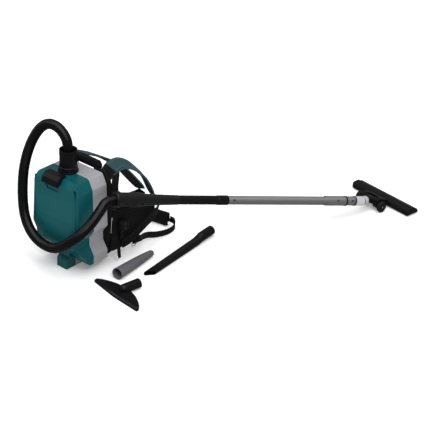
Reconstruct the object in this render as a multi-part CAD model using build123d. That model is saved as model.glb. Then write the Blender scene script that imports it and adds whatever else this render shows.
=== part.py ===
"""Backpack vacuum cleaner with harness, hose, wand, floor nozzle and three loose nozzles.

Millimetres. X is right across the front, Y is back towards the harness, Z is up.
The origin is the centre of the keel's underside, where the unit stands.
"""
from build123d import *
from math import cos, pi, radians, sin, tan
import os

# ---- main unit -------------------------------------------------------------
WALL = 3.0                # housing wall
HALF_W = 115.0            # half width of the housing
TOP_Z = 372.0
FRONT_Y = -70.0           # face behind the front cover
SEAM_Y = 7.0              # front and rear housings meet here
REAR_Y = 76.0
CHAMBER_Z = 101.0         # floor of the closed upper part
BAY_TOP_Z = 97.0
LIP_Z = 44.0              # lower edge of the side walls and the front curtain
KNEE_Z = 112.0            # the front face turns back below this
LEG_FRONT_Y = -12.0
TOP_CHAMFER = 16.0        # front-top edge
KEEL_HALF = 24.0
KEEL_FRONT_Y = -38.0
DECK_Z = 200.0            # plate between the motor and bag chambers
OPENING_HALF_W = 96.0     # bag door opening in the front housing
OPENING_Z = (214.0, 350.0)
EXHAUST_HALF = 42.0       # exhaust window in the rear face
EXHAUST_Z = (126.0, 194.0)

# ---- front cover and latch ---------------------------------------------------
COVER_LOW_Z = 147.0
COVER_T = 5.7
COVER_GAP = 0.3
LATCH_HALF = 38.0
LATCH_X = -6.0            # middle of the latch
LATCH_PIN = (-54.0, 381.2)      # Y, Z

# ---- inlet and hose ----------------------------------------------------------
INLET = (-8.0, 4.0)
HOSE_OD = 37.0
CUFF_R = 32.2
CUFF_TOP_Z = 456.0

# ---- wand, along its own axis ------------------------------------------------
WAND_START = Vector(150, 61, 295)
WAND_END = Vector(527, 1056, 50)
WAND_DIR = (WAND_END - WAND_START).normalized()
TUBE_R = 16.2
BUTTON_TURN = -26.0       # angle of the snap buttons round the wand
SLOT_TURN = 17.0          # angle of the suction slider

# ---- floor nozzle --------------------------------------------------------------
HEAD_YAW = -8.0
HEAD_PIVOT = (519.0, 1118.0, 32.0)
HEAD_W = 300.0

os.makedirs("parts", exist_ok=True)
nodes = {}


def add(name, *solids):
    """Register a node made of one or more separate solids."""
    nodes[name] = solids[0] if len(solids) == 1 else Compound(children=[Part() + s for s in solids])


def block(x, y, z):
    """Box from three (low, high) ranges."""
    centre = [(low + high) / 2 for low, high in (x, y, z)]
    return Pos(*centre) * Box(x[1] - x[0], y[1] - y[0], z[1] - z[0])


def slab_xz(points, y0, y1):
    """Polygon in X, Z extruded over a range of Y."""
    face = make_face(Polyline([(x, 0, z) for x, z in points], close=True))
    return Pos(0, y0, 0) * extrude(face, amount=y1 - y0, dir=(0, 1, 0))


def slab_yz(points, x0, x1):
    """Polygon in Y, Z extruded over a range of X."""
    face = make_face(Polyline([(0, y, z) for y, z in points], close=True))
    return Pos(x0, 0, 0) * extrude(face, amount=x1 - x0, dir=(1, 0, 0))


def ring(r_out, r_in, z0, z1, x=0.0, y=0.0):
    """Upright tube."""
    body = Cylinder(r_out, z1 - z0, align=(Align.CENTER, Align.CENTER, Align.MIN))
    if r_in > 0:
        body -= Pos(0, 0, -1) * Cylinder(r_in, z1 - z0 + 2, align=(Align.CENTER, Align.CENTER, Align.MIN))
    return Pos(x, y, z0) * body


def revolve_profile(points):
    """Closed (radius, z) profile turned about the Z axis."""
    face = make_face(Polyline([(r, 0, z) for r, z in points], close=True))
    return revolve(face, axis=Axis.Z)


def ribbon(centres, wide, half_widths, thickness):
    """Closed band through centre points: a strap, a pad or a belt wing.

    wide gives the direction of the band's width, one vector or one for each point.
    """
    points = [Vector(*c) for c in centres]
    count = len(points)
    wides = wide if isinstance(wide, list) else [wide] * count
    halves = half_widths if isinstance(half_widths, list) else [half_widths] * count
    loops = []
    for i, p in enumerate(points):
        tangent = (points[min(i + 1, count - 1)] - points[max(i - 1, 0)]).normalized()
        across = Vector(*wides[i])
        across = (across - tangent * across.dot(tangent)).normalized()
        normal = tangent.cross(across).normalized() * (thickness / 2)
        side = across * halves[i]
        loops.append([p + side + normal, p - side + normal, p - side - normal, p + side - normal])
    faces = [flat_quad(*loops[0]), flat_quad(*reversed(loops[-1]))]
    for a, b in zip(loops, loops[1:]):
        for k in range(4):
            n = (k + 1) % 4
            faces.append(Face(Wire.make_polygon([a[k], a[n], b[n]])))
            faces.append(Face(Wire.make_polygon([a[k], b[n], b[k]])))
    solid = Solid(Shell(faces))
    return solid if solid.volume > 0 else Solid(Shell([-f for f in faces]))


def flat_quad(a, b, c, d):
    return Face(Wire.make_polygon([a, b, c, d]))


# ---- housing -------------------------------------------------------------------
def housing_outline(inset=0.0, half_w=HALF_W, top=TOP_Z, low=LIP_Z):
    """Front view of the housing: wide shoulders, a waist notch and two legs."""
    right = [(half_w - 27, top), (half_w - 7.5, 334), (half_w, 174), (half_w - 22, 141), (half_w - 22, 110),
             (half_w, 76), (half_w, low)]
    points = right + [(-x, z) for x, z in reversed(right)]
    with BuildSketch() as sketch:
        with BuildLine():
            Polyline(points, close=True)
        make_face()
        shoulders = [v for v in sketch.vertices() if v.Y > 300]
        fillet(shoulders, 12)
        if inset:
            offset(amount=-inset)
    return sketch.sketch


def housing_prism(y0, y1, inset=0.0, low=LIP_Z):
    """The outline stands in X, Z and is extruded over a range of Y."""
    face = housing_outline(inset, low=low)
    return Pos(0, y1, 0) * Rot(90, 0, 0) * extrude(face, amount=y1 - y0)


def chamber(y0, y1):
    """Inside of the closed upper part."""
    inner = housing_prism(y0, y1, WALL)
    return inner & block((-200, 200), (y0 - 1, y1 + 1), (CHAMBER_Z, 400))


def bay_cut(side):
    """Battery bay, open below."""
    x = (27, 98) if side > 0 else (-98, -27)
    outline = [(-7, 40), (-7, 54), (-48, BAY_TOP_Z), (66, BAY_TOP_Z), (66, 40)]
    return slab_yz(outline, *x)


def front_shape():
    """Outer solid of the front housing, with its knee and its rounded corners."""
    body = housing_prism(FRONT_Y, SEAM_Y)
    vertical = body.faces().sort_by(Axis.Y)[0].edges()
    tall = [e for e in vertical if e.length > 100 and abs(e.center().X) > HALF_W - 10]
    body = fillet(tall, 9)
    slope = [(-90, KNEE_Z), (FRONT_Y, KNEE_Z), (LEG_FRONT_Y, 50), (LEG_FRONT_Y, 30), (-90, 30)]
    body -= slab_yz(slope, -200, 200)
    top = [(FRONT_Y - 1, TOP_Z - TOP_CHAMFER - 1), (FRONT_Y + TOP_CHAMFER + 1, TOP_Z + 1),
           (FRONT_Y - 1, TOP_Z + 1)]
    return body - slab_yz(top, -200, 200)


def keel(y0, y1):
    """Centre keel between the batteries; the unit stands on it."""
    side = [(KEEL_FRONT_Y, 0), (KEEL_FRONT_Y, 37), (-26, 46), (-26, 70), (REAR_Y, 70), (REAR_Y, 0)]
    body = slab_yz(side, -KEEL_HALF, KEEL_HALF)
    return body & block((-50, 50), (y0, y1), (-1, 200))


def make_front_housing():
    body = front_shape() + keel(-100, SEAM_Y)
    body -= chamber(FRONT_Y + WALL, SEAM_Y + 1) & front_inner()
    for side in (-1, 1):
        body -= bay_cut(side)
    body -= block((-OPENING_HALF_W, OPENING_HALF_W), (FRONT_Y - 1, FRONT_Y + WALL + 1), OPENING_Z)
    groove = seal_path(3.2, FRONT_Y, FRONT_Y + 2.0)
    body -= groove
    # ledge that carries the cover's lower edge
    body += block((-50, 50), (-75, FRONT_Y), (139, COVER_LOW_Z - COVER_GAP))
    # pocket for the latch's claw, closed towards the bag chamber
    x0, x1 = LATCH_X - 15, LATCH_X + 15
    body += slab_yz([(-66, 354), (-66, 358), (-54, 370), (-50, 370), (-50, 354)], x0 - WALL, x1 + WALL)
    body -= slab_yz([(-63.4, 356.6), (-72, 362), (-80, 376), (-53, 376), (-56.1, 356.6)], x0, x1)
    # blind grooves under the waist, the housing's only trim
    for z in (122, 129):
        body -= block((-60, 60), (FRONT_Y - 1, FRONT_Y + 0.8), (z, z + 2))
    body -= ring(24.5, 0, TOP_Z - 5, TOP_Z + 1, *INLET)
    return body


def front_inner():
    """Limits the chamber so that the knee and the chamfer keep a wall."""
    outline = [(FRONT_Y + WALL, KNEE_Z + 2), (-58, CHAMBER_Z), (20, CHAMBER_Z), (20, TOP_Z - WALL),
               (FRONT_Y + TOP_CHAMFER + 2, TOP_Z - WALL), (FRONT_Y + WALL, TOP_Z - TOP_CHAMFER - 2)]
    return slab_yz(outline, -200, 200)


def seal_path(width, y0, y1):
    """Rectangular ring round the door opening."""
    x, (z0, z1) = OPENING_HALF_W, OPENING_Z
    outer = block((-x - 1.5 - width, x + 1.5 + width), (y0, y1), (z0 - 1.5 - width, z1 + 1.5 + width))
    return outer - block((-x - 1.5, x + 1.5), (y0 - 1, y1 + 1), (z0 - 1.5, z1 + 1.5))


def make_rear_housing():
    body = housing_prism(SEAM_Y, REAR_Y)
    body += keel(SEAM_Y, REAR_Y)
    body -= chamber(SEAM_Y - 1, REAR_Y - WALL)
    for side in (-1, 1):
        body -= bay_cut(side)
        for x in (36, 90):
            rail = block((x, x + 6), (54, 66), (50, 84)) - block((x - 1, x + 2.5), (58, 63), (49, 85))
            body += rail if side > 0 else mirror(rail, Plane.YZ)
    body -= ring(24.5, 0, TOP_Z - 5, TOP_Z + 1, *INLET)
    low, high = EXHAUST_Z
    body -= block((-EXHAUST_HALF, EXHAUST_HALF), (REAR_Y - 4, REAR_Y + 1), (low, high))
    for x in (-60, 60):
        for z in (118, 320):
            body -= Pos(x, REAR_Y - 1, z) * Rot(90, 0, 0) * Cylinder(2.6, 8)
    return body


def make_exhaust_grille():
    """Louvred panel that fills the window behind the motor chamber."""
    low, high = EXHAUST_Z
    half = EXHAUST_HALF - COVER_GAP
    panel = block((-half, half), (REAR_Y - WALL + 0.2, REAR_Y), (low + COVER_GAP, high - COVER_GAP))
    for i in range(8):
        z = low + 6 + i * 7.4
        panel -= block((6 - half, half - 6), (REAR_Y - 5, REAR_Y + 1), (z, z + 3.6))
    return panel


# right halves of the cover's rim and of its flat face, as X, Z
COVER_RIM = [(66, 380), (83, 371), (95, 350), (101, 312), (102.5, 262), (102.5, 205), (89, 172), (64, 153),
             (40, COVER_LOW_Z)]
COVER_FACE = [(59, 372), (73, 361), (83, 342), (88, 306), (89, 260), (89, 210), (78, 184), (58, 168), (36, 162)]


def mirrored(right):
    """Closed outline from its right half."""
    return right + [(-x, z) for x, z in reversed(right)]


def upright_face(points, y):
    """Polygon in X, Z as a face at the given Y."""
    return make_face(Polyline([(x, y, z) for x, z in points], close=True))


def make_front_cover():
    """Door over the bag chamber: its edges slope back, and its top edge turns over the housing."""
    y_in = FRONT_Y - COVER_GAP
    y_out = y_in - COVER_T
    y_rim = y_in - 1.5
    outer = [(y_out, COVER_LOW_Z), (y_out, 354), (-58.5, 376.0), (-52, 376.0), (-52, TOP_Z + 0.4),
             (-54.1, TOP_Z + 0.4), (y_in, TOP_Z - TOP_CHAMFER + 0.2), (y_in, COVER_LOW_Z)]
    faces = []
    for turn in (0, 30, 60, 90):
        inset, forward = 1 - cos(radians(turn)), sin(radians(turn))
        outline = [(a + (c - a) * inset, b + (d - b) * inset) for (a, b), (c, d) in zip(COVER_RIM, COVER_FACE)]
        faces.append(upright_face(mirrored(outline), y_rim + (y_out - y_rim) * forward))
    crown = loft(faces, ruled=True)
    envelope = slab_xz(mirrored(COVER_RIM), y_rim, 0) + crown
    body = slab_yz(outer, -HALF_W, HALF_W) & envelope
    # window for the latch's claw, and a finger recess below the lever
    body -= block((LATCH_X - 15, LATCH_X + 15), (-85, -57), (358, 385))
    recess = [(LATCH_X - 36, 348), (LATCH_X + 36, 348), (LATCH_X + 26, 325), (LATCH_X - 26, 325)]
    body -= slab_xz(recess, y_out - 1, y_out + 3.4)
    # shallow label panel and the band below it
    panel = [(-86, 236), (-86, 282), (-76, 297), (74, 303), (86, 294), (86, 242), (74, 233)]
    band = [(-84, 212), (-38, 188), (56, 189), (80, 213)]
    for outline in (panel, band):
        body -= slab_xz(outline, y_out - 1, y_out + 0.7)
    # lugs that hold the latch's pin
    for x in (LATCH_X - 22, LATCH_X + 22):
        lug = block((x - 3, x + 3), (-57, -51), (375.5, LATCH_PIN[1]))
        lug += Pos(x, *LATCH_PIN) * Rot(0, 90, 0) * Cylinder(3, 6)
        body += lug - Pos(x, *LATCH_PIN) * Rot(0, 90, 0) * Cylinder(1.55, 20)
    return body


def make_latch():
    """Lever across the front-top edge."""
    outline = [(-47.5, 378.0), (-47.5, 386.0), (-72, 388.0), (-88, 375.0), (-93.5, 356), (-91.5, 352.5),
               (-83, 353.5), (-78.5, 357), (-60, 379.2), (-58, 378.0)]
    body = slab_yz(outline, LATCH_X - LATCH_HALF, LATCH_X + LATCH_HALF)
    corner = [e for e in body.edges().filter_by(Axis.X) if e.center().Z > 374 and e.center().Y < -60]
    body = fillet(corner, 5)
    for x in (LATCH_X - 22, LATCH_X + 22):
        body -= block((x - 3.5, x + 3.5), (-59.5, -45), (370, 384.9))
    return body - Pos(LATCH_X, *LATCH_PIN) * Rot(0, 90, 0) * Cylinder(1.6, 2 * LATCH_HALF - 8)


def make_claw():
    """Hook under the lever that reaches through the cover into the housing's pocket."""
    hook = [(-61.5, 357.6), (-68.6, 366.5), (-67.4, 370.2), (-60, 379.1), (-58, 377.9), (-57.2, 357.6)]
    return slab_yz(hook, LATCH_X - 12, LATCH_X + 12)


def make_unit():
    add("front_housing", make_front_housing())
    add("rear_housing", make_rear_housing())
    add("exhaust_grille", make_exhaust_grille())
    add("front_cover", make_front_cover())
    add("cover_latch", make_latch())
    add("latch_claw", make_claw())
    add("latch_pin", Pos(LATCH_X, *LATCH_PIN) * Rot(0, 90, 0) * Cylinder(1.5, 60))
    add("cover_seal", seal_path(3.0, FRONT_Y + 0.1, FRONT_Y + 2.0))


# ---- inside the unit ---------------------------------------------------------------
def make_inside():
    deck = housing_prism(FRONT_Y + WALL, REAR_Y - WALL, WALL + 0.2)
    deck &= block((-200, 200), (FRONT_Y + WALL + 0.2, REAR_Y - WALL - 0.2), (DECK_Z, DECK_Z + 4))
    deck -= block((-52, 52), (-40, 46), (190, 210))
    add("filter_deck", deck)

    hepa = block((-60, 60), (-48, 54), (DECK_Z + 4, DECK_Z + 20))
    for i in range(14):
        x = -52 + i * 8
        hepa -= block((x - 2, x + 2), (-44, 50), (DECK_Z + 10, DECK_Z + 21))
    add("fine_filter", hepa)

    frame = block((-66, 66), (-54, 60), (DECK_Z + 20.3, DECK_Z + 26))
    for i in range(4):
        for j in range(3):
            x, y = -45 + i * 30, -33 + j * 36
            frame -= block((x - 13, x + 13), (y - 15, y + 15), (DECK_Z + 19, DECK_Z + 27))
    add("prefilter_frame", frame)

    bag = block((-90, 90), (-60, 62), (232, 340))
    bag = fillet(bag.edges(), 16)
    plate = block((-44, 44), (-48, 32), (346, 349.5))
    plate = fillet(plate.edges().filter_by(Axis.Z), 10)
    add("dust_bag", bag, plate - ring(21, 0, 340, 360, *INLET))

    # blower: the axis is vertical, below the deck
    y = 3.0
    barrel = ring(60, 57, 109, 195.7, 0, y) + ring(60, 9.6, 106, 109, 0, y) + ring(60, 36, 168, 171, 0, y)
    barrel += ring(14, 9.6, 109, 118, 0, y) + ring(58, 9.6, 157, 162, 0, y)
    for i in range(6):
        vent = Rot(0, 0, i * 60) * Pos(33, 0, 0) * Box(22, 14, 20)
        barrel -= Pos(0, y, 108) * vent + Pos(0, y, 160) * vent
    add("motor_housing", barrel)
    add("motor_mount_rings", ring(60, 52, 196.0, DECK_Z, 0, y), ring(60, 50, CHAMBER_Z, 105.7, 0, y))
    stator = ring(36, 20.5, 122, 152, 0, y)
    for i in range(9):
        slot = Pos(0, y, 137) * Rot(0, 0, i * 40) * Pos(24, 0, 0) * Box(9, 5, 40)
        stator -= slot
    add("motor_stator", stator + ring(57, 35.5, 130, 140, 0, y))
    bearing = [ring(9.5, 4.05, z, z + 6, 0, y) for z in (111, 156)]
    add("motor_bearings", *bearing)
    add("motor_rotor", ring(20.0, 0, 121, 153, 0, y) + ring(4.0, 0, 110, 192, 0, y))
    hub = ring(13, 4.05, 174, 190, 0, y) + ring(50, 12, 174, 176.5, 0, y)
    for i in range(9):
        vane = Rot(0, 0, i * 40) * Pos(31, 6, 181) * Rot(0, 0, 24) * Box(38, 2, 14)
        hub += Pos(0, y, 0) * vane
    add("impeller", hub + ring(50, 22, 186.5, 189, 0, y))

    board = block((-82, -80), (-42, 48), (148, 192))
    for by, bz, sy, sz in ((-30, 170, 12, 18), (-8, 176, 16, 12), (18, 165, 20, 22), (38, 180, 8, 8)):
        board += block((-80, -72), (by - sy / 2, by + sy / 2), (bz - sz / 2, bz + sz / 2))
    add("control_board", board)

    terminals = []
    for side in (-1, 1):
        base = block((48, 84), (8, 50), (86, BAY_TOP_Z))
        for x in (54, 64, 74):
            base += block((x, x + 2.4), (16, 40), (76, 86))
        terminals.append(base if side > 0 else mirror(base, Plane.YZ))
    add("battery_terminals", *terminals)


# ---- inlet cuff -----------------------------------------------------------------------
def make_inlet():
    flange = ring(36.5, 20.4, TOP_Z, 378, *INLET) + ring(33.5, 20.4, 378, 382, *INLET)
    add("inlet_flange", flange + ring(24.2, 20.4, 350, TOP_Z, *INLET))
    cuff = revolve_profile([(24.6, 382.4), (CUFF_R + 1.2, 382.4), (CUFF_R + 1.2, 392), (CUFF_R - 0.8, 394),
                            (CUFF_R - 0.8, 432), (CUFF_R, 436), (CUFF_R, CUFF_TOP_Z), (28.5, CUFF_TOP_Z),
                            (28.5, 428), (19.2, 426), (19.2, 410), (24.6, 405)])
    for i in range(12):
        cuff -= Rot(0, 0, i * 30 + 10) * Pos(CUFF_R, 0, CUFF_TOP_Z - 8) * Box(2.4, 6, 10)
    add("inlet_cuff", Pos(*INLET, 0) * cuff)


# ---- hose: a free cord from the inlet cuff to the wand cuff ---------------------------------
HOSE_ROUTE = [(-8, 4, 427), (-8, 4, 462), (-17, 3, 498), (-50, 0, 527), (-93, -5, 531), (-128, -13, 505),
              (-150, -30, 458), (-155, -54, 405), (-152, -74, 350), (-146, -86, 290), (-139, -92, 232),
              (-124, -98, 182), (-84, -108, 140), (-30, -112, 118), (30, -112, 119), (80, -112, 148),
              (120, -101, 186), (143, -72, 216), (151, -32, 247), (149, 4, 273)]


def corner_radii(points):
    """Largest radius at each corner: 0.45 of the shorter run, over the tangent of half the turn."""
    radii = []
    for a, b, c in zip(points, points[1:], points[2:]):
        run_in, run_out = b - a, c - b
        turn = radians(run_in.get_angle(run_out))
        radii.append(0.45 * min(run_in.length, run_out.length) / tan(turn / 2))
    return radii


def make_hose():
    points = [Vector(*p) for p in HOSE_ROUTE] + [WAND_START + WAND_DIR * t for t in (-20, 34)]
    radii = corner_radii(points)
    path = FilletPolyline(*points, radius=radii)
    section = Plane(origin=points[0], z_dir=points[1] - points[0]) * Circle(HOSE_OD / 2)
    tube = sweep(section, path=path)
    print("hose length", round(path.length), "volume", round(tube.volume),
          "section times length", round(pi * HOSE_OD ** 2 / 4 * path.length))
    add("hose", tube)


# ---- wand -----------------------------------------------------------------------------------
def wand_place(solid, turn=0.0):
    """Put a solid made along Z from zero onto the wand's axis."""
    plane = Plane(origin=WAND_START, x_dir=(WAND_DIR.Y, -WAND_DIR.X, 0), z_dir=WAND_DIR)
    return plane.location * Rot(0, 0, turn) * solid


def make_wand():
    cuff = revolve_profile([(19, 8), (29.5, 8), (30.5, 12), (30.5, 24), (26.0, 30), (25.6, 62), (26.6, 84), (22.6, 84),
                            (22.6, 40), (19, 36)])
    tab = Pos(0, 33, 16) * (Box(14, 14, 8) - Pos(0, 1, 0) * Cylinder(3.4, 12))
    add("hose_end_cuff", wand_place(cuff + tab))
    grip = revolve_profile([(17.6, 44), (22.5, 44), (22.5, 84.4), (27.4, 84.6), (27.4, 92), (26.0, 100), (21.5, 140),
                            (19.6, 178), (17.6, 262), (17.0, 268), (14.2, 268), (14.2, 180), (17.6, 150)])
    slot = Rot(0, 0, SLOT_TURN) * Pos(26, 0, 122) * Box(10, 9, 30)
    add("wand_grip", wand_place(grip - slot))


BUTTONS = {"cuff_button": 497.0, "upper_lock_button": 962.0, "lower_lock_button": 1031.0}


def make_tubes():
    black = revolve_profile([(14.4, 268.2), (16.6, 268.2), (16.6, 430), (17.9, 432), (17.9, 474), (16.3, 474),
                             (16.3, 434), (14.4, 434)])
    add("grip_tube", wand_place(black))
    upper = ring(TUBE_R, 15.2, 434.2, 930)
    lower = revolve_profile([(16.3, 913), (18.4, 911), (18.6, 914), (18.6, 1006), (17.7, 1010), (17.7, 1050),
                             (16.3, 1050), (16.3, 1008), (17.2, 1004), (17.2, 932), (16.3, 930)])
    for name, t in BUTTONS.items():
        hole = Rot(0, 0, BUTTON_TURN) * Pos(15, 0, t) * Rot(0, 90, 0) * Cylinder(3.8, 20)
        upper -= hole
        lower -= hole
    add("upper_tube", wand_place(upper))
    add("lower_tube", wand_place(lower))
    add("joint_rings", wand_place(ring(19.6, 18.7, 1001, 1007)), wand_place(ring(19.0, 17.75, 1044, 1050)))
    springs = []
    for name, t in BUTTONS.items():
        top = 17.6 if t < 900 else 20.0
        stud = Pos(0, 0, t) * Rot(0, 90, 0) * Pos(0, 0, 13.2) * Cylinder(3.5, top - 13.2, align=(Align.CENTER,
                                                                      Align.CENTER, Align.MIN))
        add(name, wand_place(stud, BUTTON_TURN))
        clip = Pos(9.4, 0, t + 8) * Box(0.8, 6, 34)
        springs.append(wand_place(clip, BUTTON_TURN))
    add("button_springs", *springs)
    slider = Pos(23.6, 0, 122) * Box(4.6, 8.4, 12)
    add("suction_slider", wand_place(slider, SLOT_TURN))


# ---- floor nozzle ---------------------------------------------------------------------------------
def head_place(solid):
    """Put a solid made with its tilt axis on X at the origin onto the floor head."""
    return Pos(*HEAD_PIVOT) * Rot(0, 0, HEAD_YAW) * solid


def pipe(a, b, radius):
    """Solid round bar between two points."""
    start, end = Vector(*a), Vector(*b)
    plane = Plane(origin=start, z_dir=end - start)
    return plane.location * Cylinder(radius, (end - start).length, align=(Align.CENTER, Align.CENTER, Align.MIN))


def make_floor_nozzle():
    low = -HEAD_PIVOT[2]
    bend = WAND_START + WAND_DIR * 1088
    pivot = Vector(*HEAD_PIVOT)
    out = (pivot - bend).normalized()
    mouth = WAND_START + WAND_DIR * 1050.4
    elbow = pipe(mouth, bend, 18.4) + Pos(*bend) * Sphere(18.4) + pipe(bend, bend + out * 22, 17.4)
    elbow -= pipe(WAND_START + WAND_DIR * 1040, bend, 15.0)
    elbow -= Pos(*bend) * Sphere(15.0)
    add("nozzle_elbow", elbow)
    neck = pipe(bend + out * 22.2, pivot, 14.5)
    barrel = head_place(Rot(0, 90, 0) * Cylinder(14.6, 50))
    bore = head_place(Rot(0, 90, 0) * Cylinder(4.06, 60))
    add("nozzle_neck", neck + barrel - bore)

    side = [(50, low + 9), (50, low + 24), (58, low + 30), (80, low + 31), (88, low + 26), (104, low + 20),
            (113, low + 12), (113, low + 9)]
    half = HEAD_W / 2
    bar = slab_yz(side, -half, half)
    ends = [e for e in bar.edges() if abs(abs(e.center().X) - half) < 0.1 and e.center().Z > low + 10]
    bar = chamfer(ends, 5)
    yoke = slab_yz([(-13, low + 16), (-16, -4), (-10, 14), (8, 17), (52, -2), (52, low + 9), (8, low + 9)], -46, 46)
    yoke -= block((-25.6, 25.6), (-40, 22), (-60, 60))
    for x in (-36, 36):
        yoke -= Pos(x, 0, 0) * Rot(0, 90, 0) * Cylinder(4.05, 24)
    shell = bar + yoke - block((-110, 110), (58, 100), (low + 8, low + 22))
    add("nozzle_shell", head_place(shell))
    sole = block((-148, 148), (52, 112), (low + 4, low + 7))
    sole += block((-148, 148), (53, 111), (low + 7, low + 8.8)) - block((-144, 144), (57, 107), (low, low + 20))
    sole -= block((-108, 108), (72, 90), (low, low + 20))
    add("nozzle_sole", head_place(sole))
    strips = [block((-140, 140), (y, y + 4), (low, low + 3.9)) for y in (56, 103)]
    add("bristle_strips", *[head_place(s) for s in strips])
    wheel = revolve_profile([(3.06, -7), (19, -7), (21, -5), (21, 5), (19, 7), (3.06, 7)])
    axles = []
    for name, side_x in (("left", -1), ("right", 1)):
        centre = Pos(side_x * 57, 2, low + 21)
        add(f"{name}_wheel", head_place(centre * Rot(0, 90, 0) * wheel))
        middle = Pos(side_x * 54, 2, low + 21) * Rot(0, 90, 0)
        axles.append(head_place(middle * Cylinder(3.0, 22)))
        nodes["nozzle_shell"] -= head_place(middle * Cylinder(3.04, 22.1))
    add("head_pins", *axles, head_place(Rot(0, 90, 0) * Cylinder(4.0, 90)))


# ---- loose nozzles ------------------------------------------------------------------------------------
def make_loose_nozzles():
    # crevice nozzle, tip towards the front
    def oval(width, height, y):
        plane = Plane(origin=(0, y, height / 2), x_dir=(1, 0, 0), z_dir=(0, 1, 0))
        return plane * RectangleRounded(width, height, min(width, height) * 0.35)

    def circle(radius, y):
        plane = Plane(origin=(0, y, 18), x_dir=(1, 0, 0), z_dir=(0, 1, 0))
        return plane * Circle(radius)
    flat = loft([oval(30, 17, 0), oval(32, 24, 300)])
    blend = loft([oval(32, 24, 300), circle(17, 330)])
    socket = extrude(circle(18, 330), amount=65, dir=(0, 1, 0))
    body = flat + blend + socket
    hollow = loft([oval(25, 12, -1).moved(Pos(0, 0, 2.5)), oval(27, 19, 300).moved(Pos(0, 0, 2.5))])
    body -= hollow
    body -= loft([oval(27, 19, 300).moved(Pos(0, 0, 2.5)), circle(15.5, 331)])
    body -= extrude(circle(16.2, 331), amount=70, dir=(0, 1, 0))
    slant = make_face(Polyline([(-18, -6, 0), (18, -6, 0), (18, 36, 0), (-18, -3, 0)], close=True))
    body -= Pos(0, 0, -1) * extrude(slant, amount=40)
    add("crevice_nozzle", Pos(263, 126, 0) * Rot(0, 0, 5.7) * body)

    taper = revolve_profile([(19.5, 0), (22, 0), (22, 6), (21.3, 8), (20.2, 60), (18.4, 110), (15.6, 160), (12.4, 200),
                             (11.2, 207), (9, 211), (7, 211), (8.6, 200), (12.6, 160), (15.6, 110), (17.6, 60),
                             (18.6, 8)])
    start, end = Vector(198, 40, 22.6), Vector(173, 250, 12.4)
    plane = Plane(origin=start, z_dir=end - start)
    add("taper_nozzle", plane.location * taper)

    # fan-shaped nozzle, wide mouth to the front
    fan = [(0, -16), (121, -9), (123, 0), (109, 14), (84, 28.5), (54, 41), (17, 49), (-17, 49), (-54, 41),
           (-84, 28.5), (-109, 14), (-123, 0), (-121, -9)]
    plate = extrude(make_face(Polyline([(x, y, 0) for x, y in fan], close=True)), amount=13)
    top = [e for e in plate.edges() if e.center().Z > 12.9]
    plate = chamfer(top, 4)
    neck = Pos(0, 30, 18) * Rot(-90, 0, 0) * Cylinder(17.5, 66, align=(Align.CENTER, Align.CENTER, Align.MIN))
    neck += Pos(0, 30, 18) * Sphere(17.5)
    neck &= block((-60, 60), (0, 120), (0, 60))
    body = plate + neck
    body -= Pos(0, 40, 18) * Rot(-90, 0, 0) * Cylinder(15.2, 80, align=(Align.CENTER, Align.CENTER, Align.MIN))
    body -= block((-100, 100), (-9, 4), (-1, 8))
    body -= block((-14, 14), (-2, 42), (4, 8))
    add("fan_nozzle", Pos(274, -40, 0) * Rot(0, 0, -9.6) * body)


# ---- harness --------------------------------------------------------------------------------------------
def slide_frame(x, y, z, height):
    """Flat adjuster with a window, lying on a webbing."""
    return Pos(x, y, z) * (Box(3, 26, height) - Box(10, 6, height - 6))


FRAME_Y = (79.0, 89.0)


def make_frame():
    right = [(38, 336), (42, 376), (92, 376), (116, 352), (122, 315), (122, 196), (118, 112), (108, 60), (80, 44)]
    outline = right + [(-x, z) for x, z in reversed(right)]
    plate = slab_xz(outline, *FRAME_Y)
    plate -= block((-50, 50), (70, 100), (214, 304))
    plate -= block((-64, 64), (70, 100), (134, 196))
    for x in (-60, 60):
        for z in (118, 320):
            plate += Pos(x, (REAR_Y + FRAME_Y[0]) / 2, z) * Rot(90, 0, 0) * Cylinder(8, 3)
            plate -= Pos(x, 80, z) * Rot(90, 0, 0) * Cylinder(2.6, 40)
    add("back_frame", plate)
    screws = []
    for x in (-60, 60):
        for z in (118, 320):
            shank = pipe((x, REAR_Y - 4, z), (x, FRAME_Y[1], z), 2.5)
            screws.append(shank + pipe((x, FRAME_Y[1], z), (x, FRAME_Y[1] + 2.6, z), 5))
    add("frame_screws", *screws)

    # the bar lies against the frame's horns and leaves the notch between them free for fingers
    y0, y1 = FRAME_Y[1] + 0.1, 108
    bar = block((-56, 56), (y0, y1), (363, 397))
    bar = fillet(bar.edges().filter_by(Axis.X), 7)
    handle = bar & slab_xz([(-56, 363), (-56, 382), (-46, 397), (46, 397), (56, 382), (56, 363)], y0, y1)
    for i in range(9):
        x = -28 + i * 7
        handle -= block((x - 1.2, x + 1.2), (80, 110), (395.4, 402))
    add("carry_handle", handle)


RIGHT_PAD = [(82, 100, 338), (82, 109, 358), (82, 126, 369), (82, 150, 374), (82, 176, 371), (82, 205, 358),
             (82, 234, 338), (82, 262, 312), (82, 288, 284), (82, 308, 254), (82, 323, 226), (83, 335, 200),
             (84, 347, 178)]
RIGHT_HALF = [22, 25, 28, 28, 28, 28, 28, 27, 26, 25, 24, 22, 20]
LEFT_PAD = [(-84, 100, 338), (-84, 109, 356), (-84, 126, 366), (-84, 150, 364), (-84, 180, 350), (-84, 215, 331),
            (-84, 252, 308), (-83, 290, 281), (-82, 330, 247), (-80, 368, 210), (-78, 403, 169), (-76, 434, 132),
            (-75, 452, 108)]
LEFT_HALF = [22, 25, 28, 28, 28, 28, 28, 28, 27, 26, 26, 25, 22]
PAD_T = 15.0


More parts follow.
